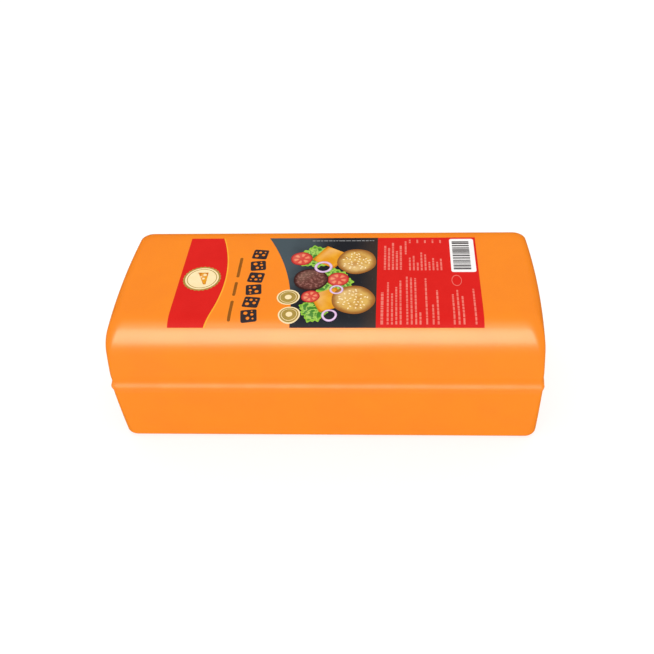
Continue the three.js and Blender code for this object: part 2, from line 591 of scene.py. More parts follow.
@dataclass
class Skin:
    """A mesh in the making.

    Attributes:
        points: an (n, 3) array of places in mm.
        faces: arrays of point numbers, each with as many columns as its faces have sides.
        pattern: an (n, 2) array of pattern coordinates from -1 to 1.
    """

    points: Array
    faces: list[Array]
    pattern: Array

    PATTERN_MAP = "pattern"

    @classmethod
    def joined(cls, skins: Iterable["Skin"]) -> "Skin":
        """Joins skins, whose point numbers then follow on from each other.

        Args:
            skins: the skins, in order.

        Returns:
            One skin.
        """
        parts = list(skins)
        starts = np.cumsum([0] + [len(part.points) for part in parts[:-1]])
        faces = [group + start for part, start in zip(parts, starts) for group in part.faces]
        points = np.concatenate([part.points for part in parts])
        return cls(points, faces, np.concatenate([part.pattern for part in parts]))

    def piece(self, name: str, finish: Palette) -> bpy.types.Object:
        """Makes the mesh, dresses it and lets it ride on the loaf.

        Args:
            name: the piece's name.
            finish: what it is dressed in.

        Returns:
            The new object, which sits at the origin.
        """
        corners = np.concatenate([group.ravel() for group in self.faces]).astype(np.int32)
        sides = np.concatenate([np.full(len(group), group.shape[1]) for group in self.faces])
        mesh = bpy.data.meshes.new(name)
        mesh.vertices.add(len(self.points))
        mesh.vertices.foreach_set("co", (self.points * MM).astype(np.float32).ravel())
        mesh.loops.add(len(corners))
        mesh.loops.foreach_set("vertex_index", corners)
        mesh.polygons.add(len(sides))
        mesh.polygons.foreach_set("loop_start", (np.cumsum(sides) - sides).astype(np.int32))
        mesh.polygons.foreach_set("use_smooth", np.ones(len(sides), dtype=bool))
        stored = (self.pattern[corners] + 1) / 2
        mesh.uv_layers.new(name=self.PATTERN_MAP).data.foreach_set("uv", stored.astype(np.float32).ravel())
        mesh.update(calc_edges=True)
        mesh.validate()
        mesh.set_sharp_from_angle(angle=SHARP_ANGLE)
        mesh.materials.append(finish.material())
        piece = placed(name, mesh)
        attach(piece, BODY)
        LOG.info("%s: %d points, %d faces", name, len(self.points), len(sides))
        return piece


@dataclass(frozen=True)
class LoafForm:
    """The form of the wrapped loaf, whose length, depth and height come from the frame.

    The lower half is upright and the upper one leans in from the seam. A bead runs round the seam, with the
    film drawn in just above it. The top edge is a superellipse, which reaches further in along the sides than
    at the ends, and the base edge an ellipse. The upright corners are tightest at the seam.
    """

    length: float
    depth: float
    height: float
    seam_height: float = SEAM_HEIGHT
    bead_rise: float = 0.85
    bead_half_width: float = 2.4
    pinch_depth: float = 0.5
    pinch_half_width: float = 4.0
    pinch_above_seam: float = 3.0
    upper_lean: float = 3.2
    end_bow: float = 3.0
    top_end_reach: float = 10.0
    top_side_reach: float = 19.0
    top_edge_fall: float = 21.0
    top_edge_power: float = 2.5
    base_edge_reach: float = 4.5
    base_edge_rise: float = 4.0
    seam_corner_radius: float = 2.5
    top_corner_radius: float = 8.0
    base_corner_radius: float = 7.0
    height_passes: int = 5
    crest_steps: int = 401

    @classmethod
    def from_frame(cls) -> "LoafForm":
        """The form that fills the loaf's solid."""
        low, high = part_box("cheese_loaf")
        return cls(*((high - low) / MM))

    def wall_offset(self, z: Array) -> Array:
        """How far the wall stands outside the reference outline.

        It is the bead's hump at the seam, less the drawn-in hollow's hump just above it and a straight lean
        over the upper half.

        Args:
            z: heights in mm.

        Returns:
            The offset at each height, in mm.
        """
        above = z - self.seam_height
        lean = self.upper_lean * np.maximum(0, above / (self.height - self.seam_height))
        bead = self.bead_rise * hump(above, self.bead_half_width)
        pinch = self.pinch_depth * hump(above - self.pinch_above_seam, self.pinch_half_width)
        return bead - pinch - lean

    def corner_radius(self, z: Array) -> Array:
        """The upright corners' radius, which grows with the square of the way from the seam.

        Args:
            z: heights in mm.

        Returns:
            The radius at each height, in mm.
        """
        above = z - self.seam_height
        upper = above > 0
        far_radius = np.where(upper, self.top_corner_radius, self.base_corner_radius)
        way = np.where(upper, self.height - self.seam_height, self.seam_height)
        return self.seam_corner_radius + (far_radius - self.seam_corner_radius) * (above / way) ** 2

    @cached_property
    def crest(self) -> float:
        """The bead's crest, over the reference outline.

        Returns:
            How far it stands outside, in mm.
        """
        reach = 2 * self.bead_half_width
        heights = self.seam_height + np.linspace(-reach, reach, self.crest_steps)
        return float(self.wall_offset(heights).max())

    @property
    def half_length(self) -> float:
        """Half the length of the reference outline."""
        return self.length / 2 - self.crest

    @property
    def half_depth(self) -> float:
        """Half the depth of the reference outline."""
        return self.depth / 2 - self.crest

    def top_height(self, y: Array) -> Array:
        """The height of the top skin.

        The height closes in on the superellipse from the flat top, because the shoulder leans with the wall.

        Args:
            y: places from front to back, in mm.

        Returns:
            The height at each place, in mm.
        """
        z = np.full(np.shape(y), self.height)
        for _ in range(self.height_passes):
            inwards = self.half_depth + self.wall_offset(z) - np.abs(y)
            reach = np.clip(1 - inwards / self.top_side_reach, 0, 1)
            bend = (1 - reach**self.top_edge_power) ** (1 / self.top_edge_power)
            z = self.height - self.top_edge_fall * (1 - bend)
        return z


@dataclass(frozen=True)
class FilmWrap:
    """The film over the whole loaf, with its small unevenness.

    Attributes:
        form: the loaf's form.
        end_steps, side_steps, corner_steps: how finely the outline is divided.
        cap_rows, edge_rows, wall_rows, seam_rows: how finely the section is divided.
        seam_zone: how far the fine rows reach on each side of the seam.
        sway, sway_lengths, sway_waves: how far the film sways off the even form on its walls, between which
            wave lengths, and in how many waves.
        bead_waver, waver_counts: how much the bead wavers in and out, and how many times round the loaf.
        waver_spread: how far the waver reaches up and down, in half widths of the bead.
        pleat_depth, pleat_counts: the same as the waver's for the gathers where the film turns a corner.
        pleat_reach, pleat_height: how far they reach along the seam and up and down from it.
        calm_height: above this height the film is drawn quite smooth, under the label too.
        calm_fade: how far below it, and how far above the ground, the unevenness fades out.
    """

    form: LoafForm
    end_steps: int = 46
    side_steps: int = 110
    corner_steps: int = 18
    cap_rows: int = 18
    edge_rows: int = 36
    wall_rows: int = 16
    seam_rows: int = 48
    seam_zone: float = 10.0
    sway: float = 0.05
    sway_lengths: Span = (38.0, 90.0)
    sway_waves: int = 7
    bead_waver: float = 0.07
    waver_counts: tuple[int, ...] = (13, 29, 43, 71)
    waver_spread: float = 1.5
    pleat_depth: float = 0.13
    pleat_counts: tuple[int, ...] = (97, 139)
    pleat_reach: float = 9.0
    pleat_height: float = 8.0
    calm_height: float = 88.5
    calm_fade: float = 9.0

    def outline(self) -> tuple[Array, Array]:
        """The points round a rounded rectangle, anticlockwise.

        Returns:
            Their places on the rectangle that joins the corners' centres, each coordinate from -1 to 1, and
            the directions from those places out to the edge, both as complex numbers.
        """
        places, directions = [], []
        for quarter in range(4):
            steps = self.side_steps if quarter % 2 else self.end_steps
            straight = 1 + 1j * np.linspace(-1, 1, steps + 1)
            corner = np.full(self.corner_steps - 1, 1 + 1j)
            bend = np.linspace(0, math.pi / 2, self.corner_steps + 1)[1:-1]
            places.append(np.concatenate([straight, corner]) * 1j**quarter)
            directions.append(np.exp(1j * np.concatenate([np.zeros(steps + 1), bend])) * 1j**quarter)
        return np.concatenate(places), np.concatenate(directions)

    def section(self) -> tuple[Array, Array, Array]:
        """The upright section from the ground to the flat top.

        Both edges go by an angle from 0 to a quarter turn: the base one by its sine and cosine, the top one
        by their powers of 2 / top_edge_power, which is a superellipse.

        Returns:
            How far the edges stand in at the ends and along the sides, and the heights.
        """
        form = self.form
        turn = np.linspace(0, math.pi / 2, self.edge_rows)
        base = form.base_edge_reach * (1 - np.sin(turn))
        base_z = form.base_edge_rise * (1 - np.cos(turn))
        zone = form.seam_height + self.seam_zone * np.linspace(-1, 1, self.seam_rows)
        lower = np.linspace(form.base_edge_rise, zone[0], self.wall_rows)[1:-1]
        upper = np.linspace(zone[-1], form.height - form.top_edge_fall, self.wall_rows // 2)[1:-1]
        walls_z = np.concatenate([lower, zone, upper])
        walls = np.zeros_like(walls_z)
        power = 2 / form.top_edge_power
        inwards = 1 - np.maximum(0, np.cos(turn)) ** power
        top_z = form.height - form.top_edge_fall * (1 - np.sin(turn) ** power)
        ends = np.concatenate([base, walls, form.top_end_reach * inwards])
        sides = np.concatenate([base, walls, form.top_side_reach * inwards])
        return ends, sides, np.concatenate([base_z, walls_z, top_z])

    def rings(self) -> Array:
        """The even form as rings from the middle of the underside to the middle of the top.

        Each ring is a rounded rectangle at its own insets, whose x shrinks with the square of y, so that the
        ends bow out. The caps' rings shrink to the middle.

        Returns:
            A (rings, points, 3) array in mm.
        """
        form = self.form
        place, direction = self.outline()
        end_inset, side_inset, height = (values[:, None] for values in self.section())
        radius = form.corner_radius(height)
        wall = form.wall_offset(height) - radius
        x = (form.half_length + wall - end_inset) * place.real + radius * direction.real
        y = (form.half_depth + wall - side_inset) * place.imag + radius * direction.imag
        bowed_x = x * (1 - (form.end_bow / form.half_length) * (y / form.half_depth) ** 2)
        sides = np.stack([bowed_x, y, np.broadcast_to(height, x.shape)], axis=-1)
        share = np.linspace(0, 1, self.cap_rows + 1)[1:-1, None, None]
        scale = np.concatenate([share, share, np.ones_like(share)], axis=-1)
        return np.concatenate([sides[0] * scale, sides, sides[-1] * scale[::-1]])

    def unevenness(self, rings: Array) -> Array:
        """How far the film stands off the even form, in mm.

        The sway is a sum of sine waves in random directions. The bead's waver and the pleats are cosine
        waves along the way round, the first faded by a hump across the seam, the second by humps across
        the seam and about each corner. All fade out towards the ground and the calm top.

        Args:
            rings: the even form.

        Returns:
            The distance at each of its points.
        """
        draw = np.random.default_rng(SEED)
        form = self.form
        sway = np.zeros(rings.shape[:2])
        for _ in range(self.sway_waves):
            facing = draw.normal(size=3)
            facing *= 2 * math.pi / draw.uniform(*self.sway_lengths) / np.linalg.norm(facing)
            sway += np.sin(rings @ facing + draw.uniform(0, 2 * math.pi)) / math.sqrt(self.sway_waves)
        place, _ = self.outline()
        girth = rings[len(rings) // 2]
        steps = np.linalg.norm(np.roll(girth, -1, axis=0) - girth, axis=-1)
        way = 2 * math.pi * np.cumsum(steps) / steps.sum()
        above = rings[..., 2] - form.seam_height
        waver = sum(np.cos(n * way + draw.uniform(0, 2 * math.pi)) for n in self.waver_counts)
        pleats = sum(np.cos(n * way + draw.uniform(0, 2 * math.pi)) for n in self.pleat_counts)
        inwards = (1 - abs(place.real)) * form.half_length + 1j * (1 - abs(place.imag)) * form.half_depth
        pleats = pleats * hump(abs(inwards), self.pleat_reach) * hump(above, self.pleat_height)
        total = self.sway * sway + self.pleat_depth * pleats
        total += self.bead_waver * waver * hump(above, form.bead_half_width * self.waver_spread)
        calm = ease((self.calm_height - rings[..., 2]) / self.calm_fade)
        return total * calm * ease(rings[..., 2] / self.calm_fade)

    def skin(self) -> Skin:
        """The closed film: the even rings moved along their normals by the unevenness.

        Returns:
            The film as a skin.
        """
        rings = self.rings()
        around = np.roll(rings, -1, axis=1) - np.roll(rings, 1, axis=1)
        normals = np.cross(around, np.gradient(rings, axis=0))
        normals /= np.linalg.norm(normals, axis=-1, keepdims=True)
        rings = rings + normals * self.unevenness(rings)[..., None]
        rows, count = rings.shape[:2]
        index = np.arange(rows * count).reshape(rows, count)
        ahead = np.roll(index, -1, axis=1)
        bottom, top = rows * count, rows * count + 1
        under = np.stack([np.full(count, bottom), ahead[0], index[0]], axis=-1)
        over = np.stack([np.full(count, top), index[-1], ahead[-1]], axis=-1)
        middles = np.array([[0, 0, rings[0, 0, 2]], [0, 0, rings[-1, 0, 2]]])
        points = np.concatenate([rings.reshape(-1, 3), middles])
        wrapped = np.concatenate([index, index[:, :1]], axis=1)
        pattern = points[:, :2] / (self.form.length / 2)
        return Skin(points, [quads(wrapped), under, over], pattern)

    def build(self) -> None:
        """Makes the film, which stands for the loaf's solid."""
        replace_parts(self.skin().piece("film_wrap", Palette.FILM), "cheese_loaf")


# The label


class Level(Enum):
    """How far above the film a printed layer begins and ends, in mm."""

    GROUND = (0.02, 0.07)
    FIELD = (0.07, 0.11)
    MARK = (0.11, 0.15)
    DETAIL = (0.15, 0.19)
    FINE = (0.19, 0.23)
    TOP = (0.23, 0.27)


@dataclass(frozen=True)
class Patch:
    """A printed shape, flat on the label.

    Attributes:
        across: a (rows, columns) grid of places along the label's length, in mm.
        along: the same grid's places from its front to its back, in mm.
        pattern: a (rows, columns, 2) grid of pattern coordinates from -1 to 1.
        closed: True where the last row runs on into the first, as in a ring.
    """

    across: Array
    along: Array
    pattern: Array
    closed: bool = False

    def moved(self, across: float, along: float, turn: float = 0.0) -> "Patch":
        """The patch turned about its own origin by so many degrees, then moved."""
        where = (self.across + 1j * self.along) * np.exp(1j * math.radians(turn)) + across + 1j * along
        return Patch(where.real, where.imag, self.pattern, self.closed)


Layer = tuple[Patch, Level]
Waves = tuple[tuple[int, float, float], ...]

# The print's grid: how far its rows are apart, and how many rows and columns its shapes have at least.
PRINT_STEP = 1.5
FEWEST_ROWS = 3
CORNER_ROWS = 7
DISC_ROWS = 9
WAVY_FINENESS = 3
RING_STEPS = 48
RING_COLUMNS = 4


def steps_for(length: float) -> int:
    """How many grid rows a printed shape of that length needs to follow the label's bend."""
    return max(FEWEST_ROWS, math.ceil(length / PRINT_STEP) + 1)


def strip(along: Array, left: Array | float, right: Array | float, columns: int = 2) -> Patch:
    """A patch whose rows run from a left edge to a right one.

    Args:
        along: where each row lies, from front to back.
        left: where each row starts.
        right: where each row ends.
        columns: how many points a row has.

    Returns:
        The patch, with pattern coordinates that run evenly over it.
    """
    share = np.linspace(0, 1, columns)[None, :]
    start = np.broadcast_to(left, along.shape)[:, None]
    end = np.broadcast_to(right, along.shape)[:, None]
    across = start + (end - start) * share
    rows = np.broadcast_to(along[:, None], across.shape)
    progress = np.linspace(-1, 1, len(along))[:, None]
    pattern = np.stack(np.broadcast_arrays(2 * share - 1, progress), axis=-1)
    return Patch(across, rows, pattern)


def rectangle(left: float, right: float, front: float, back: float, columns: int = 2) -> Patch:
    """A plain rectangle."""
    return strip(np.linspace(front, back, steps_for(back - front)), left, right, columns)


def rounded(half_across: float, half_along: float, radius: float) -> Patch:
    """A rectangle about the origin with round corners.

    Rows near the front and back follow a quarter circle: their place goes by its sine, and their half
    width by its cosine.

    Args:
        half_across: half its size along the label, in mm.
        half_along: half its size from front to back.
        radius: its corners' radius.

    Returns:
        The patch.
    """
    turn = np.linspace(0, math.pi / 2, CORNER_ROWS)
    corner = half_along - radius + radius * np.sin(turn)
    middle = np.linspace(-corner[0], corner[0], steps_for(2 * corner[0]))[1:-1]
    along = np.concatenate([-corner[::-1], middle, corner])
    curve = half_across - radius + radius * np.cos(turn)
    width = np.concatenate([curve[::-1], np.full(len(middle), half_across), curve])
    return strip(along, -width, width, steps_for(2 * half_across))


def disc(radius: float, waves: Waves = ()) -> Patch:
    """A round patch about the origin, without a pole.

    The place (a, b) of an even square grid goes to a√(1 - b²/2), b√(1 - a²/2), which fills the unit disc.
    Each wave then adds to the radius its share times the cosine of its count times the angle plus its start.

    Args:
        radius: its radius in mm.
        waves: the count, share and start of each wave of its edge.

    Returns:
        The patch, whose pattern coordinates are the unit disc's.
    """
    count = max(DISC_ROWS, steps_for(2 * radius) * (WAVY_FINENESS if waves else 1))
    a, b = np.meshgrid(np.linspace(-1, 1, count), np.linspace(-1, 1, count))
    where = a * np.sqrt(1 - b * b / 2) + 1j * b * np.sqrt(1 - a * a / 2)
    angle = np.angle(where)
    factor = 1 + sum(share * np.cos(number * angle + start) for number, share, start in waves)
    stretched = where * factor * radius
    return Patch(stretched.real, stretched.imag, np.stack([where.real, where.imag], axis=-1))


def ring(radius: float, width: float) -> Patch:
    """A ring about the origin.

    Args:
        radius: its outer radius, in mm.
        width: how wide it is.

    Returns:
        The patch, whose pattern runs across the ring's width.
    """
    angle = np.linspace(0, 2 * math.pi, RING_STEPS, endpoint=False)[:, None]
    share = np.linspace(0, 1, RING_COLUMNS)[None, :]
    where = (radius - width * (1 - share)) * np.exp(1j * angle)
    pattern = np.stack(np.broadcast_arrays(2 * share - 1, 0 * angle), axis=-1)
    return Patch(where.real, where.imag, pattern, closed=True)


def broken_line(start: float, end: float, draw: np.random.Generator) -> list[Span]:
    """Breaks a line into stretches as long as words, with gaps between them.

    Args:
        start: where the line starts, in mm.
        end: where it may end.
        draw: where the random lengths come from.

    Returns:
        The start and end of each stretch.
    """
    shortest, longest, gap = 1.1, 4.2, 0.6
    lengths = draw.uniform(shortest, longest, math.ceil((end - start) / (shortest + gap)))
    starts = start + np.concatenate([[0], np.cumsum(lengths + gap)[:-1]])
    ends = np.minimum(starts + lengths, end)
    kept = ends - starts > shortest / 2
    return list(zip(starts[kept].tolist(), ends[kept].tolist()))


@dataclass(frozen=True)
class LabelSheet:
    """The label's ground, and the surface that everything printed on it follows.

    Attributes:
        form: the loaf's form.
        left, front: the label's near corner, in mm.
        length, depth: its size along X and Y.
        columns: how many points a row of the ground has.
    """

    form: LoafForm
    left: float
    front: float
    length: float
    depth: float
    columns: int = 24

    @classmethod
    def from_frame(cls, form: LoafForm) -> "LabelSheet":
        """The sheet that covers the label's solid."""
        low, high = (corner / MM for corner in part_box("label"))
        return cls(form, low.x, low.y, high.x - low.x, high.y - low.y)

    @property
    def rows(self) -> Array:
        """Places from the label's front to its back, close enough to follow its bend."""
        return np.linspace(0, self.depth, steps_for(self.depth))

    def slab(self, patch: Patch, level: Level) -> Skin:
        """A thin closed slab of one patch, laid on the loaf's top.

        Its face and its underside follow the top's height at the two ends of the level, and a wall joins
        them round the edge.

        Args:
            patch: the printed shape, measured from the label's near corner.
            level: how far above the film the slab lies.

        Returns:
            The slab, with its faces pointing out.
        """
        x, y = self.left + patch.across, self.front + patch.along
        low, high = level.value
        height = self.form.top_height(y)
        face = np.stack([x, y, height + high], axis=-1).reshape(-1, 3)
        underside = np.stack([x, y, height + low], axis=-1).reshape(-1, 3)
        index = np.arange(len(face)).reshape(x.shape)
        if patch.closed:
            index = np.concatenate([index, index[:1]])
        edges = [index[:, -1], index[::-1, 0]]
        if not patch.closed:
            edges += [index[0], index[-1, ::-1]]
        count = len(face)
        walls = [np.stack([e[:-1], e[:-1] + count, e[1:] + count, e[1:]], axis=-1) for e in edges]
        faces = np.concatenate([quads(index), quads(index)[:, ::-1] + count, *walls])
        a, b, c, d = (face[quads(index)[:, corner], :2] for corner in range(4))
        area = float(np.sum(np.cross(c - a, d - b)))
        pattern = np.tile(patch.pattern.reshape(-1, 2), (2, 1))
        return Skin(np.concatenate([face, underside]), [faces if area > 0 else faces[:, ::-1]], pattern)

    def print(self, name: str, finish: Palette, layers: list[Layer]) -> bpy.types.Object:
        """Makes one piece out of all the patches printed in one ink, each at its own level."""
        return Skin.joined(self.slab(patch, level) for patch, level in layers).piece(name, finish)

    def build(self) -> None:
        """Makes the label's ground in the film's own orange, which stands for the label's solid."""
        ground = rectangle(0, self.length, 0, self.depth, self.columns)
        piece = self.print("label_ground", Palette.FILM, [(ground, Level.GROUND)])
        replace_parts(piece, "label")


@dataclass(frozen=True)
class RedBand:
    """The red band at the label's left end, its yellow edging, and a round badge with a wedge of cheese.

    Attributes:
        width, swell: the band's width at its ends, and how much wider it is in the middle.
        edging: how wide the yellow line along it is.
        badge_across, badge_radius, scallops: the badge's middle, its radius, and the waves of its rim.
        wedge_length, wedge_height, wedge_nose: the wedge's size, and its height at its narrow end.
        face_gap, face_width, face_tip, face_growth: how far the wedge's upper face is from its side, and its
            width at most, at the heel, and how much that grows towards the nose.
        holes: the places of the wedge's holes from the badge's middle, and their radii.
    """

    sheet: LabelSheet
    columns: int = 6
    width: float = 22.1
    swell: float = 7.5
    edging: float = 0.8
    badge_across: float = 14.4
    badge_radius: float = 12.1
    rim_width: float = 1.3
    scallops: Waves = ((28, 0.025, 0.0),)
    inner_ring_inset: float = 2.4
    inner_ring_width: float = 0.5
    wedge_rows: int = 9
    wedge_length: float = 12.0
    wedge_height: float = 6.6
    wedge_nose: float = 1.6
    face_gap: float = 0.35
    face_width: float = 1.7
    face_tip: float = 0.2
    face_growth: float = 2.4
    holes: tuple[tuple[float, float, float], ...] = ((1.4, 3.6, 1.15), (1.0, -0.2, 0.85), (-0.9, 1.6, 0.6))

    def edge(self, along: Array) -> Array:
        """Where the band's right edge lies: the width plus a parabola that is highest half way along."""
        share = along / self.sheet.depth
        return self.width + self.swell * 4 * share * (1 - share)

    def wedge(self) -> tuple[Patch, Patch]:
        """A wedge of cheese seen from the side, on its flat base, and its lighter upper face.

        Returns:
            The side, whose height grows evenly from nose to heel, and the face, a slanting band over it.
        """
        share = np.linspace(0, 1, self.wedge_rows)
        rows = self.wedge_length * (share - 1 / 2)
        base = self.wedge_height / 2
        top = base - self.wedge_nose - (self.wedge_height - self.wedge_nose) * share
        back = np.minimum(self.face_width, self.face_tip + self.face_growth * (1 - share))
        return strip(rows, top, base), strip(rows, top - back, top - self.face_gap)

    def build(self) -> None:
        """Makes the band, the edging and the badge."""
        sheet = self.sheet
        edge = self.edge(sheet.rows)
        band = strip(sheet.rows, 0.0, edge, self.columns)
        sheet.print("red_band", Palette.RED, [(band, Level.FIELD)])
        line = strip(sheet.rows, edge, edge + self.edging)
        sheet.print("band_edging", Palette.EDGING, [(line, Level.FIELD)])
        middle = (self.badge_across, sheet.depth / 2)
        scalloped = disc(self.badge_radius, self.scallops)
        inner = ring(self.badge_radius - self.inner_ring_inset, self.inner_ring_width)
        gold = [(scalloped.moved(*middle), Level.MARK), (inner.moved(*middle), Level.FINE)]
        sheet.print("badge_gold", Palette.GOLD, gold)
        side, face = self.wedge()
        cream = [(disc(self.badge_radius - self.rim_width).moved(*middle), Level.DETAIL)]
        cream.append((face.moved(*middle), Level.FINE))
        for across, along, radius in self.holes:
            cream.append((disc(radius).moved(across, along).moved(*middle), Level.TOP))
        sheet.print("badge_cream", Palette.CREAM, cream)
        sheet.print("badge_wedge", Palette.CHEESE, [(side.moved(*middle), Level.FINE)])


@dataclass(frozen=True)
class TitleMarks:
    """The title's place: a row of little cheese slices in dark ink, and a broken brown line beside it.

    Attributes:
        across, start, end: where the row's middle line lies, and where it begins and ends.
        count, size, tilt: how many slices it has, how large, and how far they lean, in degrees.
        corner: how round a slice's corners are, as a share of half its size.
        holes: each hole's place and radius, as shares of half a slice's size.
        hole_turn: how far each slice's holes are turned from the last one's, in degrees.
        line_across, line_words: where the broken line lies, and where its stretches begin and end.
    """

    sheet: LabelSheet
    across: float = 49.3
    start: float = 3.1
    end: float = 74.0
    count: int = 6
    size: float = 9.9
    tilt: float = 7.0
    corner: float = 0.24
    holes: tuple[tuple[float, float, float], ...] = (
        (-0.38, 0.42, 0.26),
        (0.42, 0.1, 0.2),
        (-0.12, -0.44, 0.22),
        (0.5, -0.56, 0.12),
        (0.4, 0.66, 0.11),
    )
    hole_turn: float = 90.0
    line_across: float = 37.4
    line_width: float = 1.9
    line_corner: float = 0.931
    line_words: tuple[Span, ...] = ((3.6, 21.6), (26.4, 40.0), (44.8, 65.4))

    def build(self) -> None:
        """Makes the slices, their holes and the broken line."""
        half = self.size / 2
        slices, holes = [], []
        for number in range(self.count):
            along = self.start + half + number * (self.end - self.start - self.size) / (self.count - 1)
            turn = self.tilt * (-1) ** number
            square = rounded(half, half, half * self.corner)
            slices.append((square.moved(self.across, along, turn), Level.FIELD))
            for right, up, radius in self.holes:
                hole = disc(radius * half).moved(right * half, up * half)
                hole = hole.moved(0, 0, turn + self.hole_turn * number).moved(self.across, along)
                holes.append((hole, Level.MARK))
        self.sheet.print("title_slices", Palette.BLACK, slices)
        self.sheet.print("title_holes", Palette.FILM, holes)
        words = []
        for start, end in self.line_words:
            word = rounded(self.line_width / 2, (end - start) / 2, self.line_corner)
            words.append((word.moved(self.line_across, (start + end) / 2), Level.FIELD))
        self.sheet.print("title_line", Palette.BROWN, words)


class Food(Enum):
    """The foods of the printed picture, each with its piece's name and its finish."""

    CHEESE = "picture_cheese", Palette.CHEESE
    LEAF = "picture_leaves", Palette.LEAF
    TOMATO = "picture_tomatoes", Palette.TOMATO
    PATTY = "picture_patties", Palette.PATTY
    BUN = "picture_buns", Palette.BUN
    ONION = "picture_onion", Palette.ONION


@dataclass(frozen=True)
class Serving:
    """One food laid on the picture's slate.

    Attributes:
        food: what it is.
        across, along: where its middle lies on the label.
        size: its radius, or half a slice's side.
        level: the layer it is printed in.
        turn: how far it is turned, in degrees.
        slice_corner, onion_width: a slice's corner radius and an onion ring's width, as shares of the size.
        leaf_waves, plain_waves: how the edges of a leaf and of any other food wave.
    """

    food: Food
    across: float
    along: float
    size: float
    level: Level
    turn: float = 0.0
    slice_corner: float = 0.1
    onion_width: float = 0.3
    leaf_waves: Waves = ((3, 0.1, 3.0), (8, 0.07, 8.0), (19, 0.05, 19.0))
    plain_waves: Waves = ((2, 0.015, 1.0), (5, 0.012, 0.0))

    def patch(self) -> Patch:
        """The food's shape: a slice's square, a ring of onion, a leaf's wavy edge, or nearly a circle.

        Returns:
            The patch, in its place on the label.
        """
        if self.food is Food.CHEESE:
            shape = rounded(self.size, self.size, self.size * self.slice_corner)
        elif self.food is Food.ONION:
            shape = ring(self.size, self.size * self.onion_width)
        else:
            shape = disc(self.size, self.leaf_waves if self.food is Food.LEAF else self.plain_waves)
        return shape.moved(self.across, self.along, self.turn)


@dataclass(frozen=True)
class PicturePanel:
    """The dark panel in the middle of the label, with the makings of a burger laid out on it.

    Attributes:
        left_front, left_back, left_power: where its left edge starts and ends, and its curve's power.
        right: where the panel meets the red field.
        servings: the foods, from the lowest layer up.
        seeds, seed_reach, seed_waver: how many seeds each bun has, how far out they go, as a share of its
            radius, and how unevenly round, in radians.
        seed_half_width, seed_half_length, seed_corner: a seed's size.
        line_along, line_reach, line_width: the small line at the back.
    """

    sheet: LabelSheet
    columns: int = 12
    left_front: float = 74.9
    left_back: float = 53.6
    left_power: float = 2.2
    right: float = 127.2
    servings: tuple[Serving, ...] = (
        Serving(Food.LEAF, 86.1, 65.7, 11.0, Level.MARK, 20),
        Serving(Food.LEAF, 99.3, 40.3, 12.0, Level.MARK, 150),
        Serving(Food.LEAF, 89.0, 12.9, 8.9, Level.MARK, 80),
        Serving(Food.CHEESE, 97.2, 22.4, 9.1, Level.DETAIL, 24),
        Serving(Food.CHEESE, 96.4, 65.8, 8.8, Level.DETAIL, -32),
        Serving(Food.PATTY, 85.0, 42.4, 11.0, Level.FINE),
        Serving(Food.TOMATO, 77.3, 64.1, 7.1, Level.DETAIL, 10),
        Serving(Food.TOMATO, 102.4, 42.5, 6.9, Level.DETAIL, 40),
        Serving(Food.TOMATO, 85.9, 25.5, 5.8, Level.FINE, 70),
        Serving(Food.BUN, 112.8, 22.5, 13.5, Level.FINE),
        Serving(Food.BUN, 113.7, 61.1, 13.0, Level.FINE, 120),
        Serving(Food.ONION, 92.2, 55.1, 5.9, Level.TOP),
        Serving(Food.ONION, 98.7, 8.2, 4.8, Level.TOP),
        Serving(Food.ONION, 101.9, 32.1, 4.4, Level.TOP),
    )
    seeds: int = 34
    seed_reach: float = 0.72
    seed_waver: float = 0.15
    seed_half_width: float = 0.45
    seed_half_length: float = 0.75
    seed_corner: float = 0.4125
    line_along: float = 83.5
    line_reach: Span = (83.0, 124.7)
    line_width: float = 0.8

    def seed_patches(self) -> list[Layer]:
        """Seeds over each bun, on a sunflower's spiral.

        Their distances go by the root of their number, so that they lie evenly, and each is a golden angle,
        pi times 3 less the root of 5, further round.

        Returns:
            The seeds, each with its level.
        """
        draw = np.random.default_rng(SEED)
        number = np.arange(self.seeds)
        seed = rounded(self.seed_half_width, self.seed_half_length, self.seed_corner)
        patches = []
        for bun in (serving for serving in self.servings if serving.food is Food.BUN):
            distance = self.seed_reach * bun.size * np.sqrt((number + 1 / 2) / self.seeds)
            angle = number * math.pi * (3 - math.sqrt(5)) + draw.normal(0, self.seed_waver, self.seeds)
            for where, turn in zip(distance * np.exp(1j * angle), draw.uniform(0, 180, self.seeds)):
                place = (bun.across + where.real, bun.along + where.imag)
                patches.append((seed.moved(*place, turn), Level.TOP))
        return patches

    def build(self) -> None:
        """Makes the panel, the foods, the seeds and the small line at the back."""
        sheet = self.sheet
        bend = (sheet.rows / sheet.depth) ** self.left_power
        left = self.left_front - (self.left_front - self.left_back) * bend
        panel = strip(sheet.rows, left, self.right, self.columns)
        sheet.print("picture_slate", Palette.SLATE, [(panel, Level.FIELD)])
        for food in Food:
            layers = [(serving.patch(), serving.level) for serving in self.servings if serving.food is food]
            sheet.print(*food.value, layers)
        sheet.print("picture_seeds", Palette.CREAM, self.seed_patches())
        words = [
            (rectangle(start, end, self.line_along, self.line_along + self.line_width), Level.MARK)
            for start, end in broken_line(*self.line_reach, np.random.default_rng(SEED))
        ]
        sheet.print("picture_line", Palette.GREY, words)


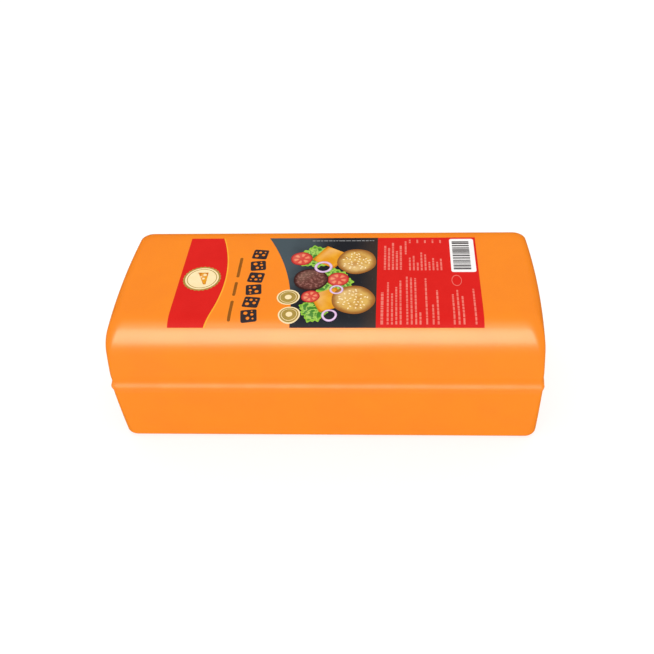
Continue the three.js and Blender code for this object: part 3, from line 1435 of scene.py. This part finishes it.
@dataclass(frozen=True)
class Seals:
    """Two plain gold seals with cream borders, where the picture's panel meets the orange.

    Attributes:
        places: each seal's middle and outer radius.
        border: how wide the cream border is.
        heart: the radius of the cream spot in the middle, as a share of the outer one.
    """

    sheet: LabelSheet
    places: tuple[tuple[float, float, float], ...] = ((72.1, 24.9, 7.2), (74.1, 8.9, 6.8))
    border: float = 0.9
    ring_inset: float = 1.9
    ring_width: float = 0.35
    heart: float = 0.3

    def build(self) -> None:
        """Makes the cream discs, the gold ones on them, and a cream ring and spot on those."""
        cream, gold = [], []
        for across, along, radius in self.places:
            cream.append((disc(radius).moved(across, along), Level.DETAIL))
            gold.append((disc(radius - self.border).moved(across, along), Level.FINE))
            cream.append((ring(radius - self.ring_inset, self.ring_width).moved(across, along), Level.TOP))
            cream.append((disc(radius * self.heart).moved(across, along), Level.TOP))
        self.sheet.print("seal_cream", Palette.CREAM, cream)
        self.sheet.print("seal_gold", Palette.GOLD, gold)


@dataclass(frozen=True)
class TextBlock:
    """A block of small print, shown only as broken lines.

    Attributes:
        first, pitch, lines: where the first line lies along the label, how far they are apart, and how many
            there are.
        start, reach: where they start from the label's front, and how long the longest is.
        ragged, weight: how much shorter the shortest is, and how thick they are.
    """

    first: float
    pitch: float
    lines: int
    start: float
    reach: float
    ragged: float
    weight: float = 1.15

    def bars(self, draw: np.random.Generator) -> list[Patch]:
        """The block's stretches, with line lengths drawn between the longest and the shortest.

        Args:
            draw: where the random lengths come from.

        Returns:
            A rectangle for each stretch.
        """
        bars = []
        for number in range(self.lines):
            across = self.first + number * self.pitch
            end = self.start + self.reach - self.ragged * draw.uniform(0, 1)
            for near, far in broken_line(self.start, end, draw):
                bars.append(rectangle(across - self.weight / 2, across + self.weight / 2, near, far))
        return bars


@dataclass(frozen=True)
class InfoPanel:
    """The red field at the label's right end, with small print, a patch of code stripes and a small ring.

    Attributes:
        left: where the field starts.
        blocks: the small print.
        patch_across, patch_along: the middle of the white patch.
        patch_half_across, patch_half_along, patch_corner: half its size, and how round its corners are.
        stripe_reach, stripe_span: where the stripes lie along the label, and from front to back.
        module, widest: how wide the narrowest stripe is, and below how many modules all stripes stay.
        mark_across, mark_along, mark_radius, mark_stretch, mark_width: the oval mark.
    """

    sheet: LabelSheet
    columns: int = 8
    left: float = 127.2
    blocks: tuple[TextBlock, ...] = (
        TextBlock(130.8, 1.0, 1, 1.8, 27.7, 0, 1.6),
        TextBlock(134.3, 2.61, 4, 1.8, 45.2, 23),
        TextBlock(146.2, 2.66, 3, 1.8, 43.6, 3),
        TextBlock(154.1, 1.0, 1, 1.8, 8.7, 0),
        TextBlock(158.1, 1.0, 1, 1.8, 42.6, 0),
        TextBlock(162.0, 2.97, 2, 1.8, 39.4, 26),
        TextBlock(174.6, 2.92, 3, 1.8, 34.2, 10),
        TextBlock(187.6, 1.0, 1, 1.8, 32.1, 0),
        TextBlock(132.2, 2.58, 5, 52.2, 29.8, 10, 1.35),
        TextBlock(145.8, 1.0, 1, 68.6, 14.3, 0),
        TextBlock(148.4, 2.53, 9, 51.6, 20.2, 13),
        TextBlock(148.6, 5.08, 5, 81.0, 3.7, 0),
    )
    patch_across: float = 183.0
    patch_along: float = 67.6
    patch_half_across: float = 8.0
    patch_half_along: float = 17.85
    patch_corner: float = 1.6
    stripe_reach: Span = (176.6, 187.8)
    stripe_span: Span = (52.4, 83.4)
    module: float = 0.42
    widest: int = 4
    mark_across: float = 177.8
    mark_along: float = 41.2
    mark_radius: float = 3.2
    mark_stretch: float = 1.7
    mark_width: float = 0.36

    def stripes(self) -> list[Layer]:
        """Dark stripes and gaps of random whole modules, one after another; they stand for no number.

        Returns:
            The dark stripes, each with its level.
        """
        draw = np.random.default_rng(SEED)
        start, end = self.stripe_span
        widths = draw.integers(1, self.widest, math.ceil((end - start) / self.module)) * self.module
        edges = start + np.concatenate([[0], np.cumsum(widths)])
        edges = edges[edges < end]
        pairs = zip(edges[0::2], edges[1::2])
        return [(rectangle(*self.stripe_reach, near, far), Level.DETAIL) for near, far in pairs]

    def oval(self) -> Patch:
        """The small mark: a ring stretched from front to back.

        Returns:
            The patch, in its place on the label.
        """
        plain = ring(self.mark_radius, self.mark_width)
        stretched = Patch(plain.across, plain.along * self.mark_stretch, plain.pattern, plain.closed)
        return stretched.moved(self.mark_across, self.mark_along)

    def build(self) -> None:
        """Makes the field, the small print with the oval mark, the white patch and the stripes."""
        sheet = self.sheet
        draw = np.random.default_rng(SEED)
        red = rectangle(self.left, sheet.length, 0, sheet.depth, self.columns)
        sheet.print("info_field", Palette.RED, [(red, Level.FIELD)])
        bars = [(bar, Level.MARK) for block in self.blocks for bar in block.bars(draw)]
        sheet.print("info_print", Palette.PINK, [*bars, (self.oval(), Level.MARK)])
        patch = rounded(self.patch_half_across, self.patch_half_along, self.patch_corner)
        patch = patch.moved(self.patch_across, self.patch_along)
        sheet.print("code_patch", Palette.WHITE, [(patch, Level.MARK)])
        sheet.print("code_stripes", Palette.BLACK, self.stripes())


# The studio


@dataclass(frozen=True)
class Softbox:
    """A long soft light in front of the loaf that only shows as a highlight on glossy surfaces.

    Attributes:
        rise, reach: how high it stands over its aim, and how far up and down it reaches, in degrees.
        radiance: how bright its face is.
        aim, distance, width: the point that it faces, how far it is from there, and how long it is, in mm.
    """

    name: str
    rise: float
    reach: float
    radiance: float
    aim: tuple[float, float, float] = (-160.0, -50.0, 85.0)
    distance: float = 1500.0
    width: float = 1850.0

    def build(self) -> None:
        """Makes the area light.

        Its height is twice the distance times the tangent of its reach, and its power is its face's area
        times pi times its radiance.
        """
        rise = math.radians(self.rise)
        light = bpy.data.lights.new(self.name, "AREA")
        light.shape = "RECTANGLE"
        light.size = self.width * MM
        light.size_y = 2 * self.distance * MM * math.tan(math.radians(self.reach))
        light.energy = self.radiance * math.pi * light.size * light.size_y
        out = Vector((0, -math.cos(rise), math.sin(rise)))
        lamp = placed(self.name, light)
        lamp.location = (Vector(self.aim) + out * self.distance) * MM
        lamp.rotation_euler = out.to_track_quat("Z", "Y").to_euler()
        lamp.visible_diffuse = False
        lamp.visible_camera = False
        LOG.info("%s: %.1f W", self.name, light.energy)


@dataclass(frozen=True)
class Studio:
    """A plain pale floor under even white light, with long softboxes for the front edge's highlight.

    Attributes:
        floor_size: how long the floor's side is.
        floor_colour, floor_shade: the floor's colour where it is lightest, and where it is slightly darker.
        floor_cloud_size: how large the floor's faint clouds are.
        floor_glow: how much light the floor gives of itself, as a light table does.
        sky: how bright the white all round is.
        softboxes: the lights.
    """

    floor_size: float = 12000.0
    floor_steps: int = 24
    floor_colour: Colour = (0.36, 0.36, 0.36, 1.0)
    floor_shade: Colour = (0.34, 0.34, 0.34, 1.0)
    floor_cloud_size: float = 500.0
    floor_glow: float = 0.71
    floor_roughness: float = 0.8
    sky: float = 1.08
    softboxes: tuple[Softbox, ...] = (
        Softbox("core_softbox", 30.5, 31.0, 8.4),
        Softbox("wide_softbox", 47.0, 45.0, 3.5),
    )

    def floor(self) -> bpy.types.Object:
        """A level square grid at the ground, in a matt finish with the faintest clouding.

        Returns:
            The floor.
        """
        half = self.floor_size / 2
        places = np.linspace(-half, half, self.floor_steps)
        x, y = np.meshgrid(places, places)
        points = np.stack([x, y, np.zeros_like(x)], axis=-1).reshape(-1, 3) * MM
        mesh = bpy.data.meshes.new("floor")
        index = np.arange(len(points)).reshape(x.shape)
        mesh.from_pydata(points.tolist(), [], quads(index).tolist())
        graph = Graph("pale_floor")
        shade = graph.mix(graph.mottle(self.floor_cloud_size), self.floor_colour, self.floor_shade)
        inputs = {"Base Color": shade, "Roughness": self.floor_roughness, "Specular IOR Level": 0.0}
        inputs |= {"Emission Color": PURE_WHITE, "Emission Strength": self.floor_glow}
        mesh.materials.append(graph.finish(inputs))
        floor = placed("floor", mesh)
        floor.visible_glossy = False
        return floor

    def world(self) -> bpy.types.World:
        """An even white sky that lights surfaces but isn't mirrored in them.

        Returns:
            The world.
        """
        world = bpy.data.worlds.new("white_sky")
        world.use_nodes = True
        background = world.node_tree.nodes["Background"]
        background.inputs["Color"].default_value = PURE_WHITE
        background.inputs["Strength"].default_value = self.sky
        world.cycles_visibility.glossy = False
        return world

    def build(self) -> None:
        """Makes the floor, the sky and the lights."""
        bpy.context.scene.view_settings.view_transform = "Standard"
        self.floor()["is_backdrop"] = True
        bpy.context.scene.world = self.world()
        for softbox in self.softboxes:
            softbox.build()


@dataclass(frozen=True)
class Viewpoint:
    """The camera, looking down on the loaf from the front and slightly from the right.

    Attributes:
        target, distance: the point that it looks at, and how far it is from there, in mm.
        yaw, pitch, roll: how far it looks right and down, and is turned about its line of sight, in degrees.
        lens, sensor: its focal length, and how wide its sensor is.
        shift: how far its frame is shifted sideways, as a share of its width.
        clip: how near and how far it sees.
    """

    target: tuple[float, float, float] = (19.825, -0.052, 46.65)
    distance: float = 554.81
    yaw: float = -3.42
    pitch: float = 42.252
    roll: float = -2.287
    lens: float = 44.734
    sensor: float = 36.0
    shift: float = -0.05
    clip: Span = (20.0, 40000.0)

    def build(self) -> None:
        """Makes the camera; its right and up come from its line of sight and the upright, then the roll."""
        yaw, pitch, roll = (math.radians(angle) for angle in (self.yaw, self.pitch, self.roll))
        ahead = Vector((math.sin(yaw) * math.cos(pitch), math.cos(yaw) * math.cos(pitch), -math.sin(pitch)))
        right = ahead.cross(Vector((0, 0, 1))).normalized()
        up = right.cross(ahead)
        turned_right = right * math.cos(roll) + up * math.sin(roll)
        turned_up = up * math.cos(roll) - right * math.sin(roll)
        data = bpy.data.cameras.new("camera")
        data.sensor_width, data.lens, data.shift_x = self.sensor, self.lens, self.shift
        data.clip_start, data.clip_end = (end * MM for end in self.clip)
        camera = placed("camera", data)
        axes = Matrix((turned_right, turned_up, -ahead)).transposed()
        place = (Vector(self.target) - ahead * self.distance) * MM
        camera.matrix_world = Matrix.Translation(place) @ axes.to_4x4()
        bpy.context.scene.camera = camera


def save_sizes() -> None:
    """Puts the solids' box and the dressed model's box into plain lists."""
    boxes = {"cad": CAD_BOX, "visual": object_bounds()}
    plain = {name: [list(corner) for corner in box] for name, box in boxes.items()}


def main() -> None:
    """Builds the loaf, its label, the studio and the camera."""
    logging.basicConfig(level=logging.INFO, format="%(message)s")
    form = LoafForm.from_frame()
    sheet = LabelSheet.from_frame(form)
    for assembly in (
        FilmWrap(form),
        sheet,
        RedBand(sheet),
        TitleMarks(sheet),
        PicturePanel(sheet),
        Seals(sheet),
        InfoPanel(sheet),
        Studio(),
        Viewpoint(),
    ):
        assembly.build()
    save_sizes()


if __name__ == "__main__":
    main()
